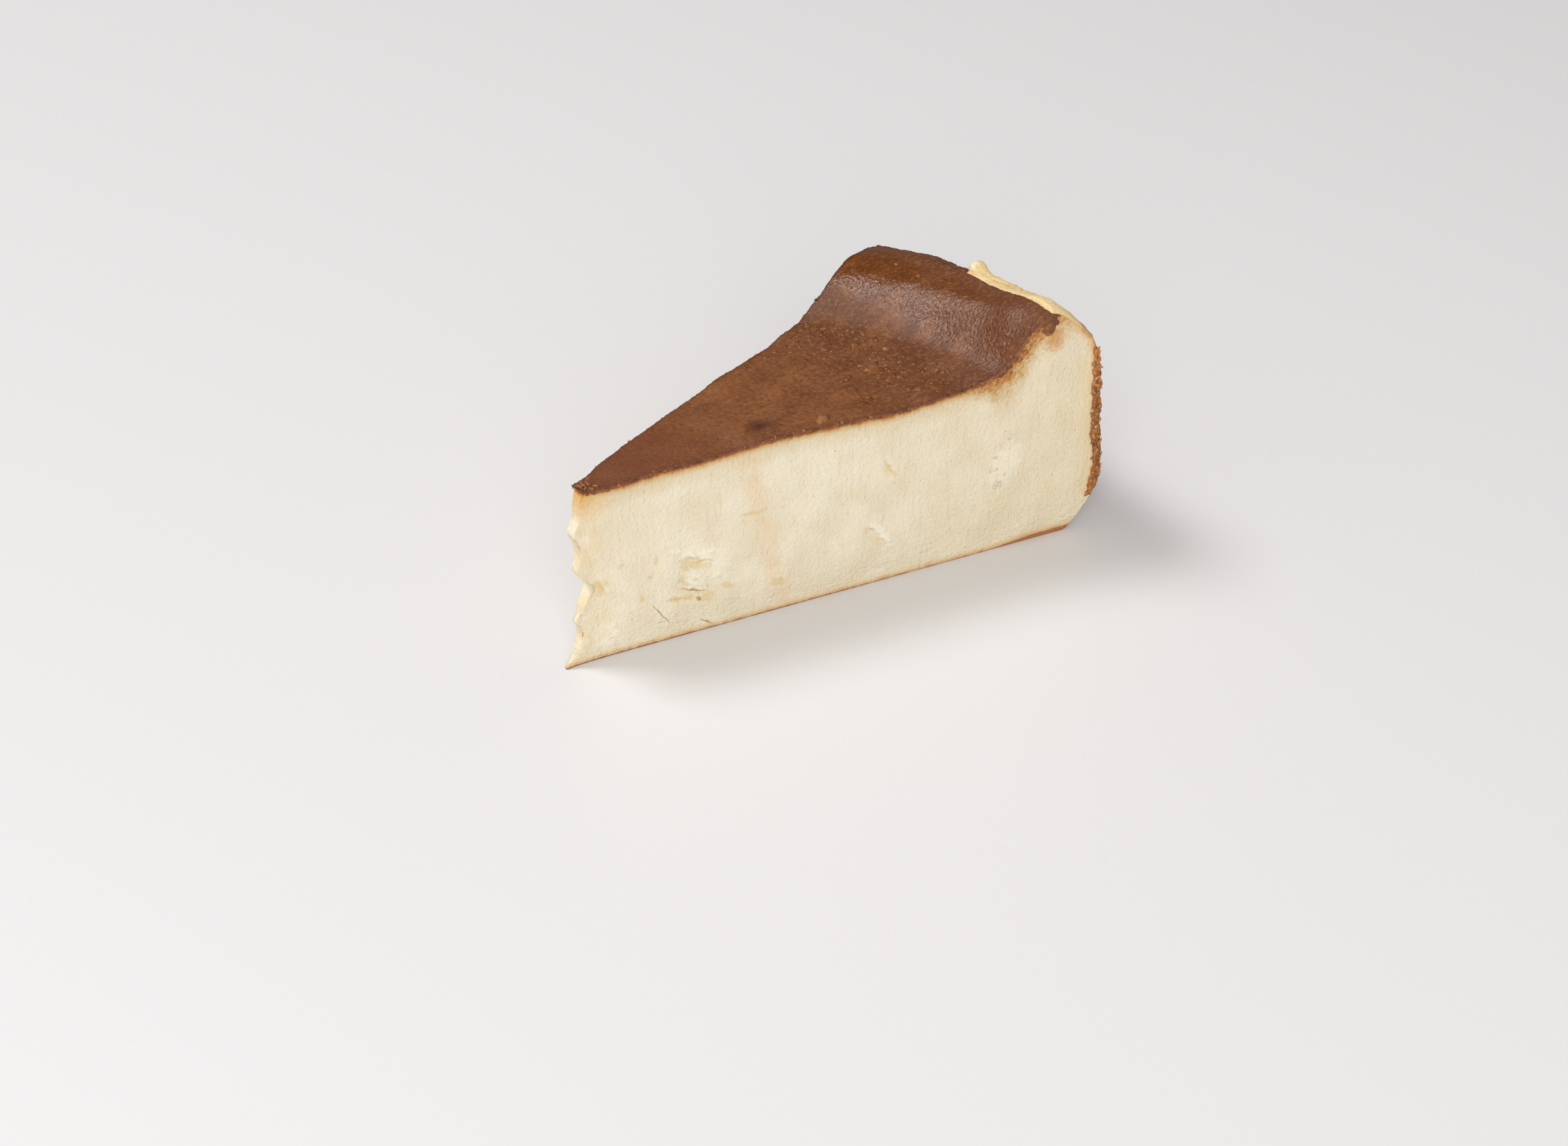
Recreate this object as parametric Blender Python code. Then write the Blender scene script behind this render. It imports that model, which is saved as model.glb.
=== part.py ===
"""A slice of burnt basque cheesecake, cut from the cake's centre to its rim.

The slice stands on its base, with its tip along -Y and its rim along +Y. The near
cut is its +X side and the far cut its -X side. A place on the slice is given by its
reach, which is its distance from the cake's centre, by across, which runs from 0 at
the near cut to 1 at the far cut, and by its height. Sizes are in metres.
"""

import math
import random

import bmesh
import bpy
from mathutils import Vector, noise

MM = 0.001
NODE = "cheesecake_slice"

# The whole cake and the slice of it
RADIUS = 117 * MM
WEDGE = math.radians(31)
FLAT_TOP = 40.2 * MM

# The raised rim: its crest is highest at the near cut, and dips once on its way to the far one
CREST_REACH = 102.5 * MM
CREST_NEAR = 53.8 * MM
CREST_FAR = 46.5 * MM
CREST_DIP = 1.0 * MM
DIP_ACROSS = 0.38
DIP_HALF_WIDTH = 0.18

# The slope inside the rim: a gentle share that starts far in, and a steep share near the crest
GENTLE_START = 70 * MM
STEEP_START = (90 * MM, 78 * MM)
STEEP_END = (101.5 * MM, 92.5 * MM)
STEEP_SHARE = (0.45, 0.7)

# The outside of the rim: a rounded foot, a wall that leans in, and a full shoulder
FOOT_INSET = 8 * MM
FOOT_HEIGHT = 13.8 * MM
FOOT_FULLNESS = 1.45
WALL_TOP = 33 * MM
WALL_LEAN = 1.6 * MM
SHOULDER_FULLNESS = 1.7
FOOT_SHARE = 0.25
WALL_SHARE = 0.55
PLEATS = 4
PLEAT_DEPTH = 0.9 * MM

# The bare ledge on the shoulder, where the skin is torn off. It starts at the near cut,
# stands up more and more, and ends in a knob.
LEDGE_SPAN = 0.53
LEDGE_FROM = 0.72
LEDGE_REACH = 106 * MM
LEDGE_HALF_WIDTH = 3 * MM
LEDGE_RISE = (0.4 * MM, 1.3 * MM)

# The tip: its blunt width, how far in it stands at its base and top, and its bays and lumps
TIP_BLUNT = 1.6 * MM
TIP_BASE = 2.2 * MM
TIP_TOP = 3.7 * MM
# (height, depth inwards, half height)
TIP_FORMS = (
    (41.5 * MM, 1.6 * MM, 3.0 * MM),
    (30.4 * MM, -1.2 * MM, 1.8 * MM),
    (26.0 * MM, 0.4 * MM, 1.5 * MM),
    (22.2 * MM, -0.8 * MM, 1.2 * MM),
    (17.0 * MM, 2.6 * MM, 2.6 * MM),
    (10.3 * MM, -1.3 * MM, 1.3 * MM),
    (0.0 * MM, -3.6 * MM, 2.2 * MM),
)

# Low swells of the flat top: (reach, across, rise, half width)
SWELLS = (
    (9 * MM, 0.1, -0.7 * MM, 7 * MM),
    (46 * MM, 0.0, 0.8 * MM, 13 * MM),
    (20 * MM, 1.0, 0.2 * MM, 12 * MM),
    (66 * MM, 1.0, -0.9 * MM, 12 * MM),
    (73 * MM, 0.43, -0.5 * MM, 4 * MM),
)

# Hollows in the cuts: (reach, height, half length, half width, tilt in degrees, depth)
NEAR_HOLLOWS = (
    (26.9 * MM, 19.1 * MM, 4.2 * MM, 2.0 * MM, -44, 1.1 * MM),
    (25.4 * MM, 12.0 * MM, 3.6 * MM, 1.7 * MM, -46, 0.9 * MM),
    (22.8 * MM, 8.8 * MM, 3.4 * MM, 1.4 * MM, -33, 0.8 * MM),
    (66.4 * MM, 11.8 * MM, 5.2 * MM, 3.0 * MM, -46, 0.7 * MM),
    (68.4 * MM, 27.4 * MM, 3.4 * MM, 1.8 * MM, -55, 0.8 * MM),
    (94.6 * MM, 21.0 * MM, 7.8 * MM, 4.2 * MM, -62, 1.0 * MM),
)
FAR_HOLLOWS = (
    (34.0 * MM, 24.5 * MM, 4.6 * MM, 2.1 * MM, -38, 1.0 * MM),
    (58.0 * MM, 9.5 * MM, 4.0 * MM, 1.8 * MM, -50, 0.8 * MM),
    (84.0 * MM, 30.0 * MM, 6.4 * MM, 2.6 * MM, -48, 1.0 * MM),
    (99.0 * MM, 16.0 * MM, 5.0 * MM, 3.2 * MM, -60, 0.9 * MM),
)
HOLLOW_FADE = 5 * MM

# Unevenness of the whole surface, which fades out at the base and at the tip
ROUGHNESS = 0.35 * MM
ROUGH_SIZE = 7 * MM
ROUGH_FADE_UP = 4 * MM
ROUGH_FADE_IN = 10 * MM

# Crags fused to the slice. Their sizes are half length, half height and half depth.
CRAG_SWELL = 0.6
CRAG_GRAIN = 1.6
KNOB_ACROSS = 0.50
KNOB_HEIGHT = 48.4 * MM
KNOB_SIZES = (3.4 * MM, 2.4 * MM, 2.2 * MM)
FLAKE_REACH = 54.7 * MM
FLAKE_ACROSS = 0.07
FLAKE_SIZES = (1.8 * MM, 1.2 * MM, 0.8 * MM)
CHUNK_REACH = 103.2 * MM
CHUNK_HEIGHT = 50.0 * MM
CHUNK_SIZES = (2.5 * MM, 3.2 * MM, 1.2 * MM)
CRUST_COUNT = 10
CRUST_START = 11.0 * MM
CRUST_STEP = 3.1 * MM
CRUST_SCATTER = 0.9 * MM
CRUST_INSET = (0.9 * MM, 1.5 * MM)
CRUST_HALF_LENGTH = (1.0 * MM, 1.7 * MM)
CRUST_HALF_HEIGHT = (1.1 * MM, 2.4 * MM)
CRUST_HALF_DEPTH = 0.7 * MM
CRUST_SEED = 4

# Grid cells along, across and up, and where the grid across gets twice as fine
CELLS = (54, 10, 18)
FINE_ACROSS_FROM = 0.48

CREAM = (0.80, 0.68, 0.46)
BURNT = (0.17, 0.065, 0.03)


def mix(start, end, share):
    """The value a share of the way from start to end."""
    return start + (end - start) * share


def ease(value, start, end):
    """A smooth step from 0 at start to 1 at end."""
    share = min(max((value - start) / (end - start), 0.0), 1.0)
    return share * share * (3.0 - 2.0 * share)


def bell(distance, half_width):
    """1 at no distance, fading to almost nothing at two half widths."""
    return math.exp(-((distance / half_width) ** 2))


def crest_height(across):
    """Height of the rim's crest between the two cuts."""
    return mix(CREST_NEAR, CREST_FAR, across) - CREST_DIP * bell(across - DIP_ACROSS, DIP_HALF_WIDTH)


def top_height(reach, across):
    """Height of the top: flat and slightly swollen, then up the slope to the crest."""
    rise = crest_height(across) - FLAT_TOP
    way = max(0.0, (reach - GENTLE_START) / (CREST_REACH - GENTLE_START))
    steep = ease(reach, mix(*STEEP_START, across), mix(*STEEP_END, across))
    share = mix(*STEEP_SHARE, across)
    height = FLAT_TOP + rise * ((1.0 - share) * way**2 + share * steep)
    for swell_reach, swell_across, swell, half_width in SWELLS:
        aside = (across - swell_across) * reach * WEDGE
        height += swell * bell(math.hypot(reach - swell_reach, aside), half_width)
    return height


def rim_point(up, across):
    """Reach and height on the rim's outside: its foot at up 0, its crest at up 1."""
    pleat = PLEAT_DEPTH * math.sin(math.pi * PLEATS * across) ** 2 * math.sin(math.pi * up)
    foot_reach = RADIUS - FOOT_INSET
    wall_reach = RADIUS - WALL_LEAN
    if up <= FOOT_SHARE:
        angle = 0.5 * math.pi * up / FOOT_SHARE
        power = 2.0 / FOOT_FULLNESS
        reach = foot_reach + FOOT_INSET * math.sin(angle) ** power
        height = FOOT_HEIGHT * (1.0 - abs(math.cos(angle)) ** power)
    elif up <= WALL_SHARE:
        share = (up - FOOT_SHARE) / (WALL_SHARE - FOOT_SHARE)
        reach = mix(RADIUS, wall_reach, share)
        height = mix(FOOT_HEIGHT, WALL_TOP, share)
    else:
        angle = 0.5 * math.pi * (up - WALL_SHARE) / (1.0 - WALL_SHARE)
        power = 2.0 / SHOULDER_FULLNESS
        crest = top_height(CREST_REACH, across)
        reach = CREST_REACH + (wall_reach - CREST_REACH) * abs(math.cos(angle)) ** power
        height = WALL_TOP + (crest - WALL_TOP) * math.sin(angle) ** power
    rise = mix(*LEDGE_RISE, across / LEDGE_SPAN) * ease(LEDGE_SPAN + 0.03 - across, 0.0, 0.03)
    ledge = rise * bell(reach - LEDGE_REACH, LEDGE_HALF_WIDTH) * ease(height, WALL_TOP, CREST_FAR)
    return Vector((reach - pleat, height + ledge))


def tip_point(up, across):
    """Reach and height on the ragged upright edge at the tip."""
    height = up * top_height(TIP_TOP, across)
    reach = mix(TIP_BASE, TIP_TOP, up)
    for form_height, depth, half_height in TIP_FORMS:
        reach += depth * bell(height - form_height, half_height)
    return Vector((reach, height))


def profile_point(along, across, up):
    """Reach and height inside the outline that tip, base, top and rim enclose."""
    base_tip = tip_point(0.0, across)
    top_tip = tip_point(1.0, across)
    base_rim = rim_point(0.0, across)
    top_rim = rim_point(1.0, across)
    base = base_tip.lerp(base_rim, along)
    top_reach = mix(top_tip.x, top_rim.x, along)
    top = Vector((top_reach, top_height(top_reach, across)))
    sides = tip_point(up, across).lerp(rim_point(up, across), along)
    caps = base.lerp(top, up)
    corners = base_tip.lerp(base_rim, along).lerp(top_tip.lerp(top_rim, along), up)
    return sides + caps - corners


def hollow_depth(hollows, reach, height):
    """How deep the hollows of one cut are at a place on it."""
    depth = 0.0
    for at_reach, at_height, half_length, half_width, tilt, deepest in hollows:
        turn = math.radians(tilt)
        east = reach - at_reach
        north = height - at_height
        lengthwise = (east * math.cos(turn) + north * math.sin(turn)) / half_length
        sidewise = (north * math.cos(turn) - east * math.sin(turn)) / half_width
        depth += deepest * bell(math.hypot(lengthwise, sidewise), 0.8)
    return depth


def on_slice(reach, across, height):
    """The place in space of a reach, a share across and a height."""
    bearing = (0.5 - across) * WEDGE
    blunted = 0.5 * (reach + math.hypot(reach, 2 * TIP_BLUNT))
    return Vector((blunted * math.sin(bearing), reach * math.cos(bearing), height))


def cut_outward(side):
    """The outward direction of a cut: side is +1 at the near cut, -1 at the far cut."""
    return Vector((side * math.cos(WEDGE / 2), -math.sin(WEDGE / 2), 0.0))


def slice_point(along, across, up):
    """The finished place of one point of the skin, from its place on the unit cube."""
    reach, height = profile_point(along, across, up)
    place = on_slice(reach, across, height)
    for side, hollows, share in ((1, NEAR_HOLLOWS, across), (-1, FAR_HOLLOWS, 1.0 - across)):
        fade = bell(share * reach * WEDGE, HOLLOW_FADE)
        place -= cut_outward(side) * hollow_depth(hollows, reach, height) * fade
    rough = noise.noise_vector(place / ROUGH_SIZE) * ROUGHNESS
    return place + rough * ease(height, 0.0, ROUGH_FADE_UP) * ease(reach, 0.0, ROUGH_FADE_IN)


def cube_faces(counts):
    """The faces of a gridded unit cube without its base, each as four corners."""
    along, across, up = counts
    for i in range(along):
        for k in range(up):
            for j in (0, across):
                yield j == 0, ((i, j, k), (i + 1, j, k), (i + 1, j, k + 1), (i, j, k + 1))
    for i in range(along):
        for j in range(across):
            yield True, ((i, j, up), (i + 1, j, up), (i + 1, j + 1, up), (i, j + 1, up))
    for j in range(across):
        for k in range(up):
            for i in (0, along):
                yield i == along, ((i, j, k), (i, j + 1, k), (i, j + 1, k + 1), (i, j, k + 1))


def base_corners(counts):
    """The corners round the base, in the order that makes its face point down."""
    along, across, _ = counts
    near = [(i, 0, 0) for i in range(along)]
    rim = [(along, j, 0) for j in range(across)]
    far = [(i, across, 0) for i in range(along, 0, -1)]
    tip = [(0, j, 0) for j in range(across, 0, -1)]
    return list(reversed(near + rim + far + tip))


def gridded_cube():
    """A unit cube with a grid on every side but its base, which is one face."""
    mesh = bmesh.new()
    corners = {}

    def corner(index):
        if index not in corners:
            corners[index] = mesh.verts.new([i / n for i, n in zip(index, CELLS)])
        return corners[index]

    for forward, face in cube_faces(CELLS):
        ring = [corner(index) for index in face]
        mesh.faces.new(ring if forward else reversed(ring))
    mesh.faces.new([corner(index) for index in base_corners(CELLS)])
    return mesh


def refine_across(mesh):
    """Doubles the grid across the rim half of the cube, where the slice is wide."""
    wide = []
    for edge in mesh.edges:
        first, second = (vertex.co for vertex in edge.verts)
        runs_across = abs(first.y - second.y) > abs(first.x - second.x) + abs(first.z - second.z)
        if runs_across and first.x > FINE_ACROSS_FROM:
            wide.append(edge)
    bmesh.ops.subdivide_edges(mesh, edges=wide, cuts=1)


def is_skin(centre):
    """Whether a face at this place on the unit cube is burnt skin rather than cream."""
    on_top = centre.z > 0.999
    on_rim = centre.x > 0.999 and centre.z > FOOT_SHARE * 0.7
    torn = on_rim and centre.z > LEDGE_FROM and centre.y < LEDGE_SPAN
    return (on_top or on_rim) and not torn


def material(name, colour, roughness):
    """A plain surface in one colour."""
    made = bpy.data.materials.new(name)
    made.use_nodes = True
    shader = made.node_tree.nodes["Principled BSDF"]
    shader.inputs["Base Color"].default_value = (*colour, 1.0)
    shader.inputs["Roughness"].default_value = roughness
    shader.inputs["Metallic"].default_value = 0.0
    return made


def make_body(materials):
    """The slice itself, from its unit cube."""
    cube = gridded_cube()
    refine_across(cube)
    for face in cube.faces:
        face.material_index = int(is_skin(face.calc_center_median()))
    for vertex in cube.verts:
        vertex.co = slice_point(*vertex.co)
    bmesh.ops.triangulate(cube, faces=cube.faces)
    return mesh_object(NODE, cube, materials, bpy.context.scene.collection)


def mesh_object(name, mesh, materials, collection):
    """Turns a bmesh into an object with the slice's materials."""
    data = bpy.data.meshes.new(name)
    mesh.to_mesh(data)
    mesh.free()
    for one in materials:
        data.materials.append(one)
    made = bpy.data.objects.new(name, data)
    collection.objects.link(made)
    return made


def make_crag(centre, outward, sizes, burnt, materials, collection):
    """A rough lump: sizes are its half length, half height and half depth."""
    out = outward.normalized()
    upright = Vector((0, 1, 0)) if out.z > 0.9 else Vector((0, 0, 1))
    sidewise = upright.cross(out).normalized()
    upward = out.cross(sidewise)
    lump = bmesh.new()
    bmesh.ops.create_icosphere(lump, subdivisions=2, radius=1.0)
    for vertex in lump.verts:
        swell = 1.0 + CRAG_SWELL * noise.noise(vertex.co * CRAG_GRAIN + centre / MM)
        length, height, depth = (c * s * swell for c, s in zip(vertex.co, sizes))
        vertex.co = centre + sidewise * length + upward * height + out * depth
    for face in lump.faces:
        face.material_index = int(burnt)
    bmesh.ops.recalc_face_normals(lump, faces=lump.faces)
    return mesh_object("crag", lump, materials, collection)


def top_crags():
    """Lumps on the top and the shoulder: the knob that ends the ledge, and a flake of skin."""
    yield on_slice(LEDGE_REACH, KNOB_ACROSS, KNOB_HEIGHT), Vector((0, 0, 1)), KNOB_SIZES, False
    flake = on_slice(FLAKE_REACH, FLAKE_ACROSS, top_height(FLAKE_REACH, FLAKE_ACROSS))
    yield flake, Vector((0, 0, 1)), FLAKE_SIZES, True


def chunk_crags():
    """The chunk of skin that hangs over the near cut at the crest."""
    yield on_slice(CHUNK_REACH, 0.0, CHUNK_HEIGHT), cut_outward(1), CHUNK_SIZES, True


def crust_crags():
    """Crumbs of crust along the edges where the cuts meet the rim."""
    draw = random.Random(CRUST_SEED)
    for across, side in ((0.0, 1), (1.0, -1)):
        for step in range(CRUST_COUNT):
            height = CRUST_START + CRUST_STEP * step + draw.uniform(-CRUST_SCATTER, CRUST_SCATTER)
            wall = RADIUS - WALL_LEAN * ease(height, FOOT_HEIGHT, WALL_TOP)
            centre = on_slice(wall - draw.uniform(*CRUST_INSET), across, height)
            sizes = (draw.uniform(*CRUST_HALF_LENGTH), draw.uniform(*CRUST_HALF_HEIGHT), CRUST_HALF_DEPTH)
            yield centre, cut_outward(side), sizes, True


def join_crags(body, materials):
    """Fuses every crag to the slice with one union, and removes the loose ones."""
    crags = bpy.data.collections.new("crags")
    bpy.context.scene.collection.children.link(crags)
    for rule in (top_crags, chunk_crags, crust_crags):
        for centre, outward, sizes, burnt in rule():
            make_crag(centre, outward, sizes, burnt, materials, crags)
    union = body.modifiers.new("crags", "BOOLEAN")
    union.operation = "UNION"
    union.operand_type = "COLLECTION"
    union.collection = crags
    union.solver = "EXACT"
    graph = bpy.context.evaluated_depsgraph_get()
    joined = bpy.data.meshes.new_from_object(body.evaluated_get(graph))
    body.modifiers.remove(union)
    body.data = joined
    for crag in list(crags.objects):
        bpy.data.objects.remove(crag)
    bpy.data.collections.remove(crags)


def centre_on_base(body):
    """Moves the mesh so that the middle of its base box is the origin."""
    places = [vertex.co for vertex in body.data.vertices]
    low = Vector([min(place[axis] for place in places) for axis in range(3)])
    high = Vector([max(place[axis] for place in places) for axis in range(3)])
    middle = Vector(((low.x + high.x) / 2, (low.y + high.y) / 2, low.z))
    for vertex in body.data.vertices:
        vertex.co -= middle


def main():
    """Builds the slice in an empty scene."""
    for old in list(bpy.data.objects):
        bpy.data.objects.remove(old)
    materials = (material("baked_cream", CREAM, 0.6), material("burnt_skin", BURNT, 0.4))
    body = make_body(materials)
    join_crags(body, materials)
    centre_on_base(body)
    body.data.shade_smooth()


main()
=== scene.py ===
"""Looks of the slice of burnt basque cheesecake: cream, skin, crumbs, lights and camera.

The slice is built again on a much finer grid, from the same named values as its solid.
A place on it is given by its reach, which is its distance from the cake's centre, by
across, which runs from 0 at the near cut to 1 at the far cut, and by its height.
Sizes are in metres.
"""

import math
import random

import bmesh
import bpy
import numpy as np
from mathutils import Matrix, Vector, noise


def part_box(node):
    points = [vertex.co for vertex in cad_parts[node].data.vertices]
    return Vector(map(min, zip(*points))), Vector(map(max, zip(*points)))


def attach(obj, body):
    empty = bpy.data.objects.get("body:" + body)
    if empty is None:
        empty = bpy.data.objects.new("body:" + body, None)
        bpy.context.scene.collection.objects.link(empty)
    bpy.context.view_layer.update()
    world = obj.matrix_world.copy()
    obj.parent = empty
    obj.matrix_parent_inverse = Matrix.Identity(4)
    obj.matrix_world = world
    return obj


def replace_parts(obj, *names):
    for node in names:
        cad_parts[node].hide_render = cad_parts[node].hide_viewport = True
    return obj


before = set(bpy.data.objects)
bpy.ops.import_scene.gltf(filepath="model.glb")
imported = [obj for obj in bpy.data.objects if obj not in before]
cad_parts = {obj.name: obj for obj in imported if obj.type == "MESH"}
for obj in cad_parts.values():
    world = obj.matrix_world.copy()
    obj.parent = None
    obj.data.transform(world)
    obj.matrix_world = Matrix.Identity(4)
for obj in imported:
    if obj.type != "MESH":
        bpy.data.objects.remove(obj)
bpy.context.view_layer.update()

MM = 0.001
NODE = "cheesecake_slice"

# Where Blender's noise starts, which is where it did when the solid was made
NOISE_START = 1796021141


def metres(rows, plain=()):
    """Rows of millimetres in metres. The plain columns are no lengths, and stay as they are."""
    return tuple(tuple(v if i in plain else v * MM for i, v in enumerate(row)) for row in rows)


# The whole cake and the slice of it
RADIUS = 117 * MM
WEDGE = math.radians(31)
FLAT_TOP = 40.2 * MM
APEX_IN = 1.43 * MM

# The raised rim
CREST_REACH = 102.5 * MM
CREST_NEAR = 53.8 * MM
CREST_FAR = 46.5 * MM
CREST_DIP = 1.0 * MM
DIP_ACROSS = 0.38
DIP_HALF_WIDTH = 0.18
GENTLE_START = 70 * MM
STEEP_START = (90 * MM, 78 * MM)
STEEP_END = (101.5 * MM, 92.5 * MM)
STEEP_SHARE = (0.45, 0.7)

# The outside of the rim
FOOT_INSET = 8 * MM
FOOT_HEIGHT = 13.8 * MM
FOOT_FULLNESS = 1.45
WALL_TOP = 33 * MM
WALL_LEAN = 1.6 * MM
SHOULDER_FULLNESS = 1.7
FOOT_SHARE = 0.25
WALL_SHARE = 0.55
PLEATS = 4
PLEAT_DEPTH = 0.9 * MM

# The bare ledge on the shoulder
LEDGE_SPAN = 0.53
LEDGE_REACH = 106 * MM
LEDGE_HALF_WIDTH = 3 * MM
LEDGE_RISE = (0.4 * MM, 1.3 * MM)

# The tip: its blunt width, how far in its base and top stand, and its bays and lumps
TIP_BLUNT = 1.6 * MM
TIP_BASE = 2.2 * MM
TIP_TOP = 3.7 * MM
# (height, depth inwards, half height), in millimetres
TIP_FORMS = metres((
    (41.5, 1.6, 3.0),
    (30.4, -1.2, 1.8),
    (26.0, 0.4, 1.5),
    (22.2, -0.8, 1.2),
    (17.0, 2.6, 2.6),
    (10.3, -1.3, 1.3),
    (0.0, -3.6, 2.2),
))

# Low swells of the flat top, in millimetres: (reach, across, rise, half width)
SWELLS = metres((
    (9, 0.1, -0.7, 7),
    (46, 0.0, 0.8, 13),
    (20, 1.0, 0.2, 12),
    (66, 1.0, -0.9, 12),
    (73, 0.43, -0.5, 4),
), (1,))

# Torn flakes in the cuts, with a lip above and a recess below, in millimetres:
# (reach, height, half length, tilt in degrees, lip, recess, span up, span down)
NEAR_FLAKES = metres((
    (27.2, 17.4, 4.2, -19, 0.4, 0.4, 3.0, 2.8),
    (26.0, 10.6, 3.8, -19, 0.35, 0.35, 2.8, 1.6),
    (22.6, 9.2, 2.8, -14, 0.15, 0.4, 1.2, 1.2),
    (68.6, 27.2, 2.4, -62, 0.25, 0.5, 1.6, 2.0),
    (66.0, 11.6, 4.4, -48, 0.3, 0.5, 3.0, 2.4),
    (7.4, 16.8, 2.6, -70, 0.3, 0.7, 1.6, 2.0),
), (3,))
FAR_FLAKES = metres((
    (34.0, 24.5, 3.6, -18, 0.5, 0.8, 3.0, 3.2),
    (58.0, 9.5, 3.0, -30, 0.4, 0.6, 2.4, 1.8),
    (84.0, 30.0, 3.4, -58, 0.3, 0.6, 2.0, 2.2),
    (14.0, 12.0, 2.8, -24, 0.3, 0.6, 1.8, 1.6),
), (3,))
# Patches that broke in layers, and crumbled ones, in millimetres:
# (reach, height, half width, half height)
LAYER_TILT = -17
LAYER_RELIEF = 0.16 * MM
PATCH_RELIEF = 0.1 * MM
NEAR_LAYERS = metres((
    (26.5, 14.0, 4.6, 7.0),
    (92.0, 18.0, 2.0, 4.0),
))
FAR_LAYERS = metres((
    (37.0, 22.0, 5.6, 6.0),
    (72.0, 12.0, 3.5, 4.0),
))
NEAR_PATCHES = metres(((94.4, 21.0, 4.2, 6.4),))
FAR_PATCHES = metres(((99.0, 16.0, 4.2, 5.4),))

# Unevenness of the whole surface
ROUGHNESS = 0.35 * MM
ROUGH_SIZE = 7 * MM
ROUGH_FADE_UP = 4 * MM
ROUGH_FADE_IN = 10 * MM

# Grid cells along, across and up
BODY_CELLS = (272, 60, 104)
SKIN_CELLS = (340, 112, 4)

# The skin: how far it stands proud, and how thick it is on the flat, at the rim and on the side
SKIN_PROUD = 0.12 * MM
SKIN_FLAT = 0.7 * MM
SKIN_RIM = 1.15 * MM
SKIN_SIDE = 1.7 * MM
SKIN_FOOT = 0.175
BARE_TOP = 0.985
BARE_FOOT = 0.7
UNDER_SKIN = 0.5 * MM
TOP_SHARE = 0.64
GLOSS_START = 86.5 * MM
GLOSS_END = 104 * MM
# The dark spot: its reach, its share across and its half size
SPOT = (43.5 * MM, 0.25, 2.7 * MM)

# The far end of the crest droops, and bulges before it
DROOP = (0.8 * MM, 105.0 * MM, 5.0 * MM)
BULGE = (0.5 * MM, 97.0 * MM, 5.0 * MM)
DROOP_WIDTH = 6.0 * MM
# The near end of the shoulder bulges out: (rise, height, half height, half width)
SHOULDER_BULGE = (1.3 * MM, 44.5 * MM, 4.5 * MM, 14.0 * MM)
# The tip stands back under the skin, and its foot bulges, in millimetres:
# (inwards, height, half height)
TIP_MOVES = metres(((0.9, 39.0, 6.0), (-1.0, 3.4, 2.8)))

# Blisters: how many, their reach and its spread in millimetres, and where they end
BLISTERS = 230
BLISTER_REACH = (76.0, 6.0)
BLISTER_START = 60.0
BLISTER_END = (85.5, 80.0)
BLISTER_BAND = 10.0

# Crumbs: how many on each edge of the top, on the tip, on each edge of the side, and how many
# of cream in each torn patch and along each edge of the side
EDGE_CRUMBS = ((1.0, -1, 60), (0.0, 1, 40))
TIP_CRUMBS = 26
SIDE_CRUMBS = 260
PATCH_CRUMBS = 5
RIM_CRUMBS = 8
# Crumbs that lie on the top, in millimetres: (reach, across, half size, shade)
TOP_CRUMBS = metres((
    (54.7, 0.07, 1.4, 0.4),
    (73.1, 0.43, 0.8, 0.45),
    (80.5, 0.5, 0.8, 0.5),
    (84.0, 0.3, 0.5, 0.4),
    (98.5, 0.8, 0.6, 0.5),
    (97.0, 0.66, 0.6, 0.5),
), (1, 3))
# The hanging chunk's lumps, in millimetres: (reach, height, half size, shade)
CHUNK = metres((
    (101.0, 52.4, 1.2, 0.2),
    (102.6, 52.4, 1.4, 0.1),
    (103.8, 51.7, 1.2, 0.0),
    (102.7, 51.2, 1.4, 0.3),
    (103.4, 50.3, 1.2, 0.1),
    (102.2, 50.2, 1.1, 0.2),
    (102.9, 49.2, 0.9, 0.4),
    (100.4, 51.3, 0.6, 0.7),
    (103.6, 48.3, 0.5, 0.8),
), (3,))
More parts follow.
